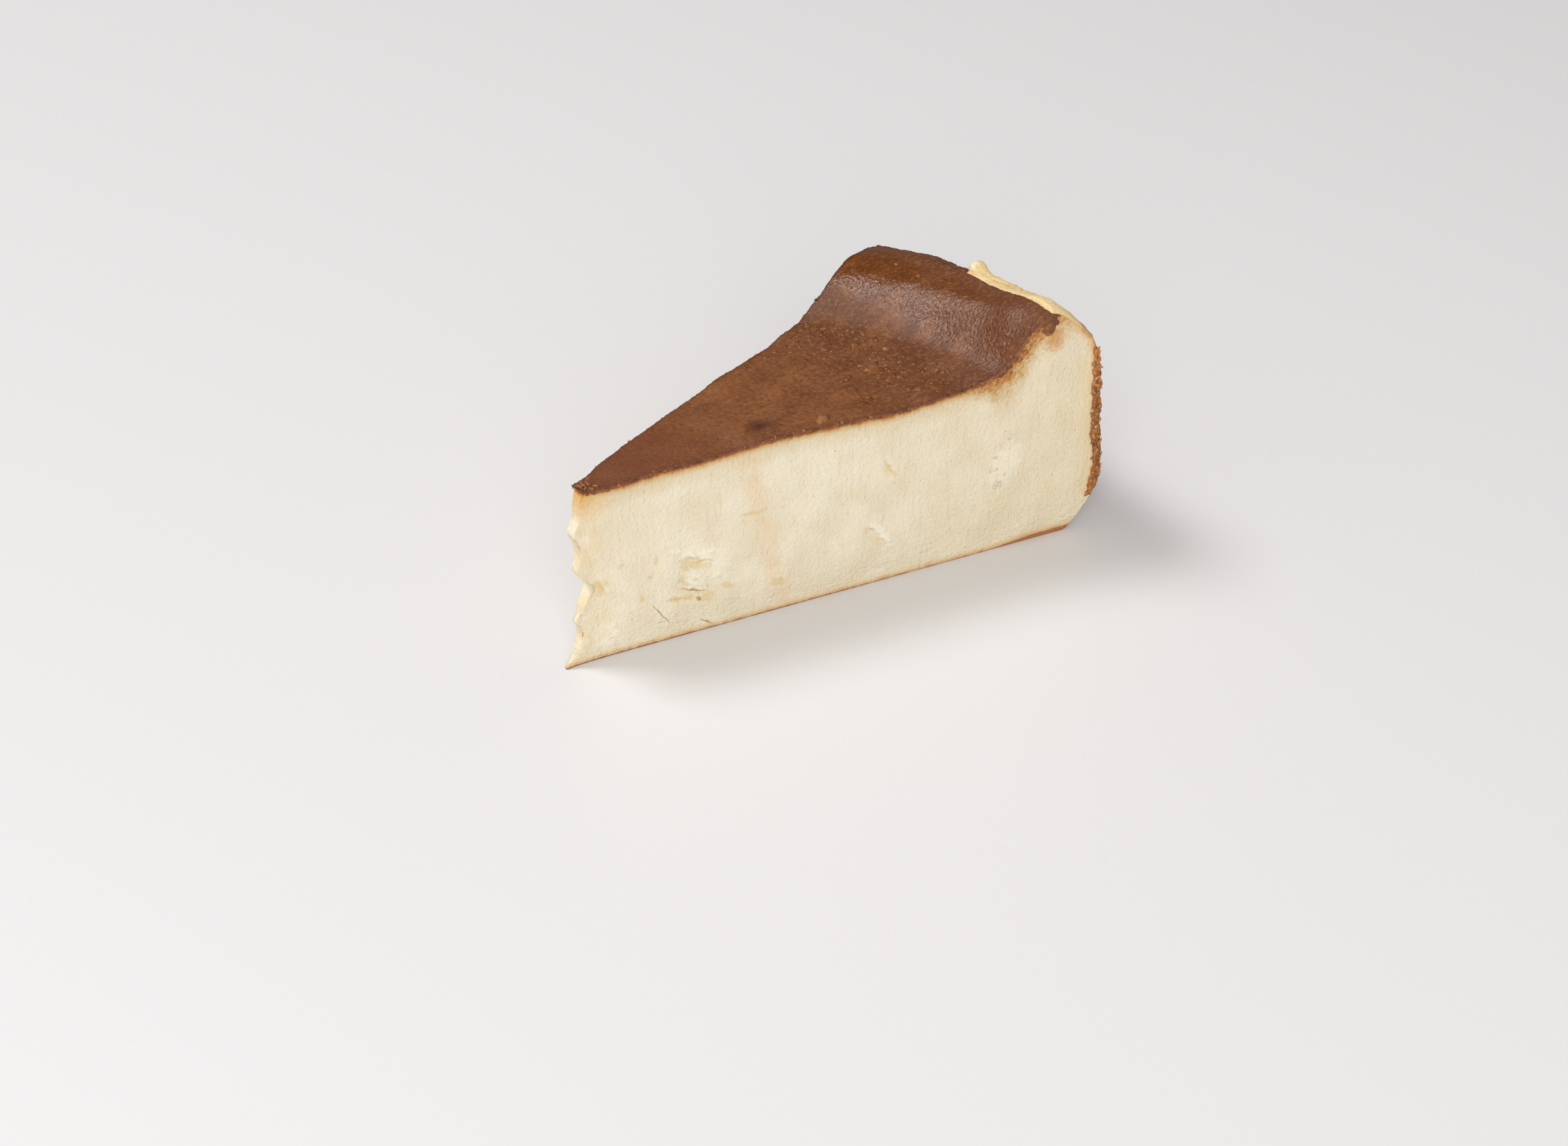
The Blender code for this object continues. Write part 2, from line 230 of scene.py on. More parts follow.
# Marks in the near cut, in millimetres: (reach and height, half sizes, turn in degrees, kind).
# Stains are the cream's own colour. The pale marks are paler torn cream with painted highlight
# on the flakes' lips. The other kinds are painted shade in recesses and splits, and one is a
# painted shadow line under a flake's lip.
NEAR_MARKS = (
    ((27.2, 19.1), (3.9, 1.6), -20, "pale_and_lit"),
    ((26.9, 15.9), (4.2, 1.2), -18, "shaded_hollow"),
    ((24.2, 15.8), (1.7, 0.7), -38, "stain"),
    ((23.4, 13.6), (0.9, 1.1), 0, "stain"),
    ((26.3, 12.7), (3.5, 1.5), -18, "pale_and_lit"),
    # A painted shadow line under the lower flake's lip
    ((26.0, 10.3), (3.2, 0.22), -20, "shade_line"),
    ((21.8, 9.4), (1.9, 0.8), -14, "stain"),
    ((24.5, 8.9), (1.7, 0.7), -12, "stain"),
    ((28.7, 8.0), (1.6, 1.7), -30, "stain"),
    ((27.0, 8.0), (0.7, 0.4), -40, "shade_line"),
    ((32.9, 9.4), (2.0, 1.0), -30, "stain"),
    ((43.2, 7.0), (2.4, 1.2), -20, "stain"),
    ((39.3, 25.0), (3.4, 0.6), -6, "stain"),
    ((18.9, 6.8), (3.6, 0.15), -60, "shade_line"),
    ((28.1, 1.9), (2.1, 0.22), -38, "shade_line"),
    ((31.0, 15.5), (3.6, 4.6), -20, "pale_and_lit"),
    ((22.6, 20.6), (1.8, 0.6), -20, "pale_and_lit"),
    ((24.0, 12.4), (2.0, 0.4), -20, "shaded_hollow"),
    ((7.0, 5.5), (3.6, 3.0), -20, "pale_and_lit"),
    ((18.3, 19.4), (0.9, 0.6), 60, "stain"),
    ((17.2, 16.4), (0.8, 0.5), 40, "stain"),
    ((15.2, 11.5), (0.7, 0.9), 20, "stain"),
    ((7.4, 17.4), (1.2, 0.7), 40, "stain"),
    ((11.3, 20.5), (0.8, 0.4), 30, "stain"),
    ((66.3, 11.8), (5.4, 1.5), -48, "pale_and_lit"),
    ((68.4, 27.4), (2.9, 0.5), -62, "stain"),
    ((94.4, 21.0), (6.6, 4.2), 70, "pale_and_lit"),
    ((96.4, 42.2), (2.3, 0.2), -55, "shade_line"),
    ((97.2, 42.6), (2.0, 1.1), -55, "stain"),
)

# The camera, as it was worked out from the photo
CAMERA_PLACE = (272.8 * MM, -221.2 * MM, 256.8 * MM)
CAMERA_RIGHT = (0.6216, 0.7833, 0.0)
CAMERA_AHEAD = (-0.6279, 0.4983, -0.5979)
CAMERA_ROLL = math.radians(-1.048)
CAMERA_LENS = 47.79
CAMERA_SENSOR = 36.0

# The studio, in metres and watts
FLOOR = 3.0
WORLD_LIGHT = 0.45
KEY_PLACE = (-0.93, -0.52, 1.69)
KEY_SIZE = 0.7
KEY_POWER = 20.0
FILL_PLACE = (1.0, -0.8, 0.8)
FILL_SIZE = 1.1
FILL_POWER = 13.0


def mix(start, end, share):
    """The value a share of the way from start to end."""
    return start + (end - start) * share


def ease(value, start, end):
    """A smooth step from 0 at start to 1 at end."""
    share = np.clip((value - start) / (end - start), 0.0, 1.0)
    return share * share * (3.0 - 2.0 * share)


def bell(distance, half_width):
    """1 at no distance, fading to almost nothing at two half widths."""
    return np.exp(-((distance / half_width) ** 2))


def grain(places, size, seed=0.0, octaves=1):
    """Smooth noise between about -1 and 1 at each place, with lumps of about a size."""
    points = (places / size + seed).tolist()
    if octaves == 1:
        return np.array([noise.noise(point) for point in points])
    return np.array([noise.fractal(point, 0.6, 2.1, octaves) for point in points])


def grain_vectors(places, size):
    """Smooth noise in three directions at each place."""
    return np.array([noise.noise_vector(point) for point in (places / size).tolist()])


def crest_height(across):
    """Height of the rim's crest between the two cuts."""
    dip = CREST_DIP * bell(across - DIP_ACROSS, DIP_HALF_WIDTH)
    return mix(CREST_NEAR, CREST_FAR, across) - dip


def top_height(reach, across):
    """Height of the top: flat and slightly swollen, then up the slope to the crest."""
    rise = crest_height(across) - FLAT_TOP
    way = np.maximum(0.0, (reach - GENTLE_START) / (CREST_REACH - GENTLE_START))
    steep = ease(reach, mix(*STEEP_START, across), mix(*STEEP_END, across))
    share = mix(*STEEP_SHARE, across)
    height = FLAT_TOP + rise * ((1.0 - share) * way**2 + share * steep)
    for swell_reach, swell_across, swell, half_width in SWELLS:
        aside = (across - swell_across) * reach * WEDGE
        height = height + swell * bell(np.hypot(reach - swell_reach, aside), half_width)
    return height


def rim_point(up, across):
    """Reach and height on the rim's outside: its foot at up 0, its crest at up 1."""
    wall_reach = RADIUS - WALL_LEAN
    foot_angle = 0.5 * np.pi * np.clip(up / FOOT_SHARE, 0.0, 1.0)
    foot_power = 2.0 / FOOT_FULLNESS
    foot_reach = RADIUS - FOOT_INSET + FOOT_INSET * np.sin(foot_angle) ** foot_power
    foot_height = FOOT_HEIGHT * (1.0 - np.abs(np.cos(foot_angle)) ** foot_power)
    wall_share = (up - FOOT_SHARE) / (WALL_SHARE - FOOT_SHARE)
    top_angle = 0.5 * np.pi * np.clip((up - WALL_SHARE) / (1.0 - WALL_SHARE), 0.0, 1.0)
    top_power = 2.0 / SHOULDER_FULLNESS
    crest = top_height(CREST_REACH, across)
    top_reach = CREST_REACH + (wall_reach - CREST_REACH) * np.abs(np.cos(top_angle)) ** top_power
    top_rise = WALL_TOP + (crest - WALL_TOP) * np.sin(top_angle) ** top_power
    parts = [up <= FOOT_SHARE, up <= WALL_SHARE]
    reach = np.select(parts, [foot_reach, mix(RADIUS, wall_reach, wall_share)], top_reach)
    height = np.select(parts, [foot_height, mix(FOOT_HEIGHT, WALL_TOP, wall_share)], top_rise)
    rise = mix(*LEDGE_RISE, across / LEDGE_SPAN) * ease(LEDGE_SPAN + 0.03 - across, 0.0, 0.03)
    ledge = rise * bell(reach - LEDGE_REACH, LEDGE_HALF_WIDTH) * ease(height, WALL_TOP, CREST_FAR)
    pleat = PLEAT_DEPTH * np.sin(np.pi * PLEATS * across) ** 2 * np.sin(np.pi * up)
    return reach - pleat, height + ledge


def tip_point(up, across):
    """Reach and height on the ragged upright edge at the tip."""
    height = up * top_height(TIP_TOP, across)
    reach = mix(TIP_BASE, TIP_TOP, up)
    for form_height, depth, half_height in TIP_FORMS:
        reach = reach + depth * bell(height - form_height, half_height)
    return reach, height


def profile_point(along, across, up):
    """Reach and height inside the outline that tip, base, top and rim enclose."""
    zero, one = np.zeros_like(up), np.ones_like(up)
    tip, rim = tip_point(up, across), rim_point(up, across)
    base_tip, top_tip = tip_point(zero, across), tip_point(one, across)
    base_rim, top_rim = rim_point(zero, across), rim_point(one, across)
    top_reach = mix(top_tip[0], top_rim[0], along)
    top = (top_reach, top_height(top_reach, across))
    found = []
    for axis in range(2):
        base = mix(base_tip[axis], base_rim[axis], along)
        corners = mix(base, mix(top_tip[axis], top_rim[axis], along), up)
        found.append(mix(tip[axis], rim[axis], along) + mix(base, top[axis], up) - corners)
    return found


def on_slice(reach, across, height):
    """The places in space of reaches, shares across and heights."""
    bearing = (0.5 - across) * WEDGE
    blunted = 0.5 * (reach + np.hypot(reach, 2 * TIP_BLUNT))
    along = reach * np.cos(bearing) + APEX_Y
    return np.stack(np.broadcast_arrays(blunted * np.sin(bearing), along, height), axis=-1)


def cut_outward(side):
    """The outward direction of a cut: side is +1 at the near cut, -1 at the far cut."""
    return np.array((side * math.cos(WEDGE / 2), -math.sin(WEDGE / 2), 0.0))


def settled(place, reach, across, height):
    """Places with the slice's unevenness, and with the droop at the far end of its crest."""
    fade = ease(height, 0.0, ROUGH_FADE_UP) * ease(reach, 0.0, ROUGH_FADE_IN)
    solid_place = place - np.array((0.0, APEX_Y, 0.0))
    rough = grain_vectors(solid_place, ROUGH_SIZE) * ROUGHNESS
    place = place + rough * fade[:, None]
    corner = bell((1.0 - across) * WEDGE * reach, DROOP_WIDTH) * ease(height, 28 * MM, 46 * MM)
    place[:, 2] += corner * BULGE[0] * bell(reach - BULGE[1], BULGE[2])
    place[:, 2] -= corner * DROOP[0] * bell(reach - DROOP[1], DROOP[2])
    rise, middle, half_height, half_width = SHOULDER_BULGE
    bulge = bell(height - middle, half_height) * bell(across * WEDGE * reach, half_width)
    place[:, 1] += rise * bulge * ease(reach, 103 * MM, 110 * MM)
    for inwards, middle, half_height in TIP_MOVES:
        place[:, 1] += inwards * bell(height - middle, half_height) * bell(reach, 6.0 * MM)
    return place


def slice_surface(along, across, up):
    """Reach, height and place in space of points of the slice's surface."""
    reach, height = profile_point(along, across, up)
    return reach, height, settled(on_slice(reach, across, height), reach, across, height)


def under_top(reach, across, height):
    """How deep each place lies under the top, square to it."""
    top = top_height(reach, across)
    slope = (top_height(reach + 0.5 * MM, across) - top) / (0.5 * MM)
    return (top - height) / np.hypot(1.0, slope)


def rim_reach_at(height, across):
    """How far out the rim's outside is at a height, on one of the cuts."""
    reaches, heights = rim_point(np.linspace(0.0, 1.0, 200), np.full(200, across))
    return np.interp(height, heights, reaches)


def shoulder_height(reach, across):
    """Height of the rounded shoulder at each reach outside the crest."""
    wall_reach = RADIUS - WALL_LEAN
    share = (reach - CREST_REACH) / (wall_reach - CREST_REACH)
    angle = np.arccos(share ** (SHOULDER_FULLNESS / 2.0))
    crest = top_height(CREST_REACH, across)
    return WALL_TOP + (crest - WALL_TOP) * np.sin(angle) ** (2.0 / SHOULDER_FULLNESS)


def box_grid(counts, one_base):
    """A box of grid cells: the place of each corner on the unit cube, and its faces."""
    shape = tuple(n + 1 for n in counts)
    shell = np.zeros(shape, bool)
    for axis in range(3):
        side = np.moveaxis(shell, axis, 0)
        side[0] = True
        side[-1] = True
    ids = np.full(shape, -1)
    ids[shell] = np.arange(shell.sum())
    corners = np.argwhere(shell) / np.array(counts)

    def quads(sheet, forward):
        ring = [sheet[:-1, :-1], sheet[1:, :-1], sheet[1:, 1:], sheet[:-1, 1:]]
        if not forward:
            ring.reverse()
        return np.stack([part.ravel() for part in ring], axis=1).tolist()

    faces = quads(ids[:, 0, :], True) + quads(ids[:, -1, :], False)
    faces += quads(ids[:, :, -1], True)
    faces += quads(ids[0, :, :], False) + quads(ids[-1, :, :], True)
    if one_base:
        ring = ids[:-1, 0, 0].tolist() + ids[-1, :-1, 0].tolist()
        ring += ids[:0:-1, -1, 0].tolist() + ids[0, :0:-1, 0].tolist()
        faces.append(ring[::-1])
    else:
        faces += quads(ids[:, :, 0], False)
    return corners, faces


def mesh_object(name, places, faces, measures, surface):
    """A smooth mesh with a number for each vertex under each measure's name."""
    data = bpy.data.meshes.new(name)
    data.from_pydata(places.tolist(), [], faces)
    data.update()
    for measure, values in measures.items():
        layer = data.attributes.new(measure, "FLOAT", "POINT")
        layer.data.foreach_set("value", np.asarray(values, np.float32))
    data.materials.append(surface)
    data.shade_smooth()
    made = bpy.data.objects.new(name, data)
    bpy.context.scene.collection.objects.link(made)
    return made


def vertex_normals(places, faces):
    """The normal of each vertex of a mesh of quads, with any larger faces left out."""
    quads = np.array([face for face in faces if len(face) == 4])
    first = places[quads[:, 2]] - places[quads[:, 0]]
    second = places[quads[:, 3]] - places[quads[:, 1]]
    area = np.cross(first, second)
    normals = np.zeros_like(places)
    for corner in range(4):
        np.add.at(normals, quads[:, corner], area)
    length = np.linalg.norm(normals, axis=1, keepdims=True)
    return normals / np.maximum(length, 1e-12)


def flake_relief(flakes, reach, height, jagged):
    """Relief of torn flakes, outwards: each has a curled lip above and a recess below."""
    relief = np.zeros_like(reach)
    for at_reach, at_height, half, tilt, lip, recess, above, below in flakes:
        turn = math.radians(tilt)
        east, north = reach - at_reach, height - at_height
        lengthwise = east * math.cos(turn) + north * math.sin(turn)
        sidewise = north * math.cos(turn) - east * math.sin(turn) + 0.45 * MM * jagged
        window = ease(half - np.abs(lengthwise + 0.5 * MM * jagged), 0.0, 1.8 * MM)
        raised = lip * np.clip(1.0 - sidewise / above, 0.0, 1.0) ** 1.5
        sunk = -recess * np.clip(1.0 + sidewise / below, 0.0, 1.0)
        relief = relief + window * np.where(sidewise > 0.0, raised, sunk)
    return relief


def layered_relief(mask, reach, height, jagged):
    """Relief of cream that broke off in thin layers, which lie along the slice."""
    turn = math.radians(LAYER_TILT)
    lengthwise = reach * math.cos(turn) + height * math.sin(turn)
    sidewise = height * math.cos(turn) - reach * math.sin(turn)
    sidewise = sidewise + 0.12 * MM * jagged
    layers = np.stack((lengthwise / 2.6, sidewise, np.zeros_like(reach)), axis=1)
    steps = 2.2 * grain(layers, 1.25 * MM, 41.0)
    return mask * LAYER_RELIEF * (0.6 * np.round(steps) + 0.4 * steps - 0.5)


def patch_mask(patches, reach, height):
    """How far each place lies within the crumbled patches, from 0 to 1."""
    mask = np.zeros_like(reach)
    for at_reach, at_height, half_width, half_height in patches:
        distance = np.hypot((reach - at_reach) / half_width, (height - at_height) / half_height)
        mask = np.maximum(mask, ease(1.35 - distance, 0.0, 0.7))
    return mask


# Colours as they look on a screen
def tint(red, green, blue):
    """A colour that is given as it looks on a screen, from 0 to 255."""
    return tuple(((c / 255 + 0.055) / 1.055) ** 2.4 for c in (red, green, blue)) + (1.0,)


PALE_CREAM = tint(240, 230, 206)
WARM_CREAM = tint(231, 218, 189)
DEEP_CREAM = tint(226, 207, 170)
PINK_CREAM = tint(234, 208, 174)
WHITE_CREAM = tint(250, 243, 222)
YELLOW = tint(232, 202, 142)
TIP_YELLOW = tint(222, 178, 102)
HALO = tint(215, 190, 146)
PALE_TOAST = tint(206, 150, 92)
SHOULDER = tint(240, 210, 156)
LEDGE_PALE = tint(246, 229, 192)
TOAST = tint(172, 106, 54)
DARK_TOAST = tint(112, 64, 34)
BROWN = tint(133, 79, 38)
PALE_BROWN = tint(142, 92, 50)
RED_BROWN = tint(114, 58, 24)
DARK_BROWN = tint(107, 61, 29)
CREST_BROWN = tint(110, 62, 30)
# Painted shade for the recesses under torn flakes
RECESS_SHADE_CREAM = tint(230, 205, 156)
DOT = tint(186, 138, 66)
GOLD = tint(206, 163, 96)
DEEP_GOLD = tint(186, 126, 56)
PALE_ORANGE = tint(232, 190, 132)
SMEAR = tint(206, 148, 78)
PALE_CRUST = tint(226, 182, 126)
BASE_PALE = tint(212, 164, 118)
BASE_BROWN = tint(176, 114, 66)
CLOUD_PALE = tint(158, 98, 50)
CLOUD_DARK = tint(102, 54, 28)
SPECKLE_PALE = tint(154, 100, 58)
SPECKLE_DARK = tint(98, 50, 24)
SPOT_BROWN = tint(76, 38, 22)
UNDER_BROWN = tint(140, 76, 36)
LEDGE_DEEP = tint(229, 199, 140)
LEDGE_SPOT = tint(222, 164, 96)
CRUMB_PALE = tint(204, 138, 78)
FLOOR_GREY = tint(226, 224, 224)


# How a kind of mark looks: its colour, how much of it shows, and its relief.
# The pale marks' colour is partly painted highlight; recesses and splits get painted shade.
MARK_KINDS = {
    "pale_and_lit": (WHITE_CREAM, 0.4, 0.3),
    "shaded_hollow": (tint(224, 200, 150), 0.55, -0.25),
    "stain": (tint(224, 194, 132), 0.5, -0.1),
    "shade_line": (tint(192, 148, 72), 0.9, -0.3),
}


def bare_share(up, across, lumps, jagged):
    """How bare the rim's outside is, from 0 under skin to 1 where the ledge is torn."""
    slant = 0.05 * np.sin(9.0 * up) * (1.0 - up) / (1.0 - BARE_FOOT)
    bare = ease(LEDGE_SPAN + slant + 0.014 * lumps + 0.006 * jagged - across, 0.0, 0.008)
    bare = bare * ease(BARE_TOP + 0.006 * jagged - up, 0.0, 0.012)
    foot = BARE_FOOT + 0.03 * lumps + 0.01 * jagged
    return bare * ease(up, foot, foot + 0.02)


def make_cream(surface):
    """The slice's body of cream, with its cuts torn and crumbled as a knife leaves them."""
    grid, faces = box_grid(BODY_CELLS, True)
    along, across, up = grid.T
    reach, height, places = slice_surface(along, across, up)
    near, far = across == 0.0, across == 1.0
    on_rim = along == 1.0
    jagged = grain(places, 0.9 * MM, 3.0)
    lumps = grain(places, 1.8 * MM, 7.0)
    soft_lumps = grain(places, 3.4 * MM, 23.0)
    waves = grain(places * np.array((1.0, 1.0, 0.45)), 4.0 * MM, 11.0)
    patches = near * patch_mask(NEAR_PATCHES, reach, height)
    patches = patches + far * patch_mask(FAR_PATCHES, reach, height)
    flakes = near * flake_relief(NEAR_FLAKES, reach, height, jagged)
    flakes = flakes + far * flake_relief(FAR_FLAKES, reach, height, jagged)
    tip = bell(np.maximum(reach - 2.0 * MM, 0.0), 2.6 * MM) * ease(height, 0.3 * MM, 2.5 * MM)
    broken = near * patch_mask(NEAR_LAYERS, reach, height)
    broken = broken + far * patch_mask(FAR_LAYERS, reach, height)
    flakes = flakes + layered_relief(broken, reach, height, jagged)
    relief = 0.1 * MM * waves + 0.04 * MM * jagged + flakes
    relief = relief - patches * PATCH_RELIEF * ease(lumps, -0.15, 0.35)
    relief = relief + tip * (0.6 * MM * soft_lumps + 0.2 * MM * lumps)
    relief = relief * ease(height, 0.0, 1.2 * MM)
    bare = on_rim * bare_share(up, across, lumps, jagged)
    inner = ~(near | far)
    swollen = 1.0 * bell(across - 0.09, 0.09) * ease(height, 38 * MM, 46 * MM)
    torn_rim = mix(-UNDER_SKIN, (0.25 * lumps + 0.12 * jagged + swollen) * MM, bare)
    torn_rim = np.where(up > SKIN_FOOT, torn_rim, 0.15 * MM * lumps)
    relief = np.where(on_rim & inner, torn_rim, relief)
    relief = np.where(up == 1.0, -UNDER_SKIN, relief)
    places = places + vertex_normals(places, faces) * relief[:, None]
    places[:, 2] = np.maximum(places[:, 2], 0.0)
    rim_reach = np.where(far, rim_reach_at(height, 1.0), rim_reach_at(height, 0.0))
    measures = {
        "reach": reach / MM,
        "high": height / MM,
        "across": across,
        "under_skin": under_top(reach, across, height) / MM,
        "in_rim": (rim_reach - reach) / MM,
        "on_rim": on_rim,
        "torn": np.clip(flakes / (0.5 * MM), -1.0, 1.0),
        "crumbled": patches,
    }
    return mesh_object("cream", places, faces, measures, surface)


def shell_place(way):
    """Along and up on the unit cube for a way over the top and then down the rim."""
    along = np.clip(way / TOP_SHARE, 0.0, 1.0)
    up = 1.0 - np.clip((way - TOP_SHARE) / (1.0 - TOP_SHARE), 0.0, 1.0) * (1.0 - SKIN_FOOT)
    return along, up


def sheet_normals(places, grid, counts):
    """Normals of a shell's outer sheet, for all its layers."""
    cell = np.round(grid[:, :2] * np.array(counts[:2])).astype(int)
    outer = np.flatnonzero(grid[:, 2] == 1.0)
    table = np.zeros((counts[0] + 1, counts[1] + 1), int)
    table[cell[outer, 0], cell[outer, 1]] = outer
    sheet = places[table]
    for _ in range(4):
        sheet[1:-1] = 0.25 * sheet[:-2] + 0.5 * sheet[1:-1] + 0.25 * sheet[2:]
    normals = np.cross(np.gradient(sheet, axis=0), np.gradient(sheet, axis=1))
    normals /= np.maximum(np.linalg.norm(normals, axis=2, keepdims=True), 1e-12)
    return normals[cell[:, 0], cell[:, 1]]


def make_skin(surface):
    """The burnt skin: a thin shell over the top and down the side, bare at the ledge."""
    grid, faces = box_grid(SKIN_CELLS, False)
    way, across, layer = grid.T
    along, up = shell_place(way)
    reach, height, places = slice_surface(along, across, up)
    arc = (across - 0.5) * WEDGE * reach
    on_side = ease(way, TOP_SHARE, TOP_SHARE + 0.05)
    on_slope = ease(reach, 82 * MM, 98 * MM) * (1.0 - on_side)
    jagged = grain(places, 0.75 * MM, 5.0)
    lumps = grain(places, 2.0 * MM, 9.0)
    swells = grain(places, 6.0 * MM, 13.0)
    flat_places = np.stack((reach / 2.2, arc, np.zeros_like(arc)), axis=1)
    wrinkles = 1.0 - np.abs(grain(flat_places, 0.85 * MM, 17.0)) * 3.0
    bare = bare_share(up, across, lumps, jagged) * (way > TOP_SHARE)
    thick = mix(mix(SKIN_FLAT, SKIN_RIM, on_slope), SKIN_SIDE, on_side)
    thick = thick * (1.0 - 0.75 * on_side * ease(height, 33 * MM, 43 * MM))
    thick = (thick + 0.5 * MM * bell(reach, 12 * MM)) * (1.0 + 0.45 * lumps + 0.35 * jagged)
    start = GLOSS_START + 2.2 * MM * swells - 2.0 * MM * (across - 0.5)
    glossy = ease(reach, start, start + 4 * MM) * ease(GLOSS_END - reach, 0.0, 8 * MM)
    glossy = glossy * (1.0 - on_side) * (0.6 + 0.7 * across)
    spot = bell(np.hypot(reach - SPOT[0], (across - SPOT[1]) * WEDGE * reach * 1.5), SPOT[2])
    relief = 0.1 * MM * swells + 0.03 * MM * jagged + glossy * 0.015 * MM * wrinkles
    relief = relief + on_side * (0.35 * MM * lumps + 0.25 * MM * jagged) - 0.35 * MM * spot
    top = SKIN_PROUD + relief - bare * 1.3 * MM
    offset = mix(-thick - bare * 0.8 * MM, top, layer)
    places = places + sheet_normals(places, grid, SKIN_CELLS) * offset[:, None]
    proud = (0.08 + 0.22 * jagged + 0.16 * lumps + 0.25 * on_side) * MM - bare * 1.2 * MM
    proud = proud * (1.0 - 0.4 * np.abs(layer - 0.4))
    for edge, sign in ((across == 0.0, 1), (across == 1.0, -1)):
        places = places + (edge * proud)[:, None] * cut_outward(sign)
    places[:, 1] += (way == 0.0) * (0.9 * layer + 0.3 + 0.4 * jagged) * MM
    measures = {
        "reach": reach / MM,
        "high": height / MM,
        "across": across,
        "on_side": on_side,
        "layer": layer,
        "glossy": glossy,
        "spot": spot,
        "from_edge": np.minimum(across, 1.0 - across) * WEDGE * reach / MM,
    }
    return mesh_object("skin", places, faces, measures, surface)


def lump_shape(level):
    """The points and faces of a round lump."""
    ball = bmesh.new()
    bmesh.ops.create_icosphere(ball, subdivisions=level, radius=1.0)
    ball.verts.index_update()
    points = np.array([vertex.co for vertex in ball.verts])
    faces = np.array([[vertex.index for vertex in face.verts] for face in ball.faces])
    ball.free()
    return points, faces


def scatter(name, spots, level, rough, surface):
    """Many lumps as one piece. A spot is a place, the way out, three half sizes and a shade."""
    points, faces = lump_shape(level)
    all_places, all_faces, shades = [], [], []
    for number, (place, outward, sizes, shade) in enumerate(spots):
        out = np.array(outward) / np.linalg.norm(outward)
        side = np.cross(out, (math.cos(number), math.sin(number), 0.3))
        side /= np.linalg.norm(side)
        swell = 1.0 + rough * grain(points, 0.8, 7.3 * number)
        local = points * swell[:, None] * np.array(sizes)
        all_places.append(place + local @ np.stack((side, np.cross(out, side), out)))
        all_faces.append(faces + number * len(points))
        shades.append(np.full(len(points), shade))
    places, faces = np.concatenate(all_places), np.concatenate(all_faces).tolist()
    return mesh_object(name, places, faces, {"shade": np.concatenate(shades)}, surface)


def cut_spot(reach, across, height):
    """A place on a cut."""
    arrays = [np.array((value,)) for value in (reach, across, height)]
    return settled(on_slice(*arrays), *arrays)[0]


def top_spot(reach, across):
    """A place on the top of the skin, and the way that the top faces there."""
    reaches = np.array((reach, reach + 0.5 * MM, reach))
    shares = np.array((across, across, across - 0.5 * MM / (WEDGE * reach)))
    heights = top_height(reaches, shares)
    here, onward, aside = settled(on_slice(reaches, shares, heights), reaches, shares, heights)
    facing = np.cross(aside - here, onward - here)
    return here, facing / np.linalg.norm(facing)


def edge_spot(across, height, inset):
    """A place on a cut, a way in from the rim's outside."""
    return cut_spot(rim_reach_at(height, across) - inset, across, height)


def blister_spots(draw):
    """Blisters of the skin, thickest where the slope begins."""
    for _ in range(BLISTERS):
        across = draw.uniform(0.05, 0.97)
        limit = BLISTER_END[0] - (BLISTER_END[0] - BLISTER_END[1]) * across
        reach = max(draw.gauss(*BLISTER_REACH), BLISTER_START)
        reach = (reach if reach < limit else limit - draw.uniform(0.0, BLISTER_BAND)) * MM
        place, facing = top_spot(reach, across)
        wide = draw.uniform(0.32, 0.75) * MM
        sizes = (wide, wide * draw.uniform(0.6, 1.0), 0.3 * wide)
        yield place + facing * SKIN_PROUD, facing, sizes, draw.random()


def skin_crumb_spots(draw):
    """Crumbs of skin on the edges of the top, and a few that lie on it."""
    for across, side, count in EDGE_CRUMBS:
        for _ in range(count):
            reach = draw.uniform(4.0, 96.0) * MM
            place, facing = top_spot(reach, across)
            size = draw.uniform(0.08, 0.3) * MM
            out = facing + cut_outward(side) * draw.uniform(0.2, 1.5)
            place = place + cut_outward(side) * 0.1 * MM - facing * draw.uniform(-0.1, 0.7) * MM
            yield place, out, (size * 1.5, size, size * 0.8), draw.uniform(0.0, 0.65)
    for _ in range(TIP_CRUMBS):
        place, facing = top_spot(draw.uniform(4.8, 8.5) * MM, draw.random())
        size = draw.uniform(0.15, 0.4) * MM
        yield place, facing, (size * 1.5, size, size * 0.7), draw.uniform(0.0, 0.5)
    for reach, across, size, shade in TOP_CRUMBS:
        place, facing = top_spot(reach, across)
        yield place + facing * 0.1 * size, facing, (size, size * 0.75, size * 0.3), shade


def side_crumb_spots(draw):
    """Crumbs of toasted crust along the edges where the cuts meet the side."""
    for across, side in ((0.0, 1), (1.0, -1)):
        for _ in range(SIDE_CRUMBS):
            height = draw.uniform(8.0, 43.0 if side > 0 else 37.0) * MM
            inset = draw.uniform(-0.15, 1.7) * MM * (0.5 if height > 40.0 * MM else 1.0)
            proud = cut_outward(side) * draw.uniform(0.0, 0.5) * MM
            place = edge_spot(across, height, inset) + proud
            size = draw.uniform(0.12, 0.38) * MM
            out = cut_outward(side) + np.array((0.0, 0.7 - inset / MM, 0.0)) * 0.6
            shade = draw.uniform(0.25, 1.1) + 0.5 * (height > 35.0 * MM)
            yield place, out, (size * 1.9, size, size * 0.7), shade


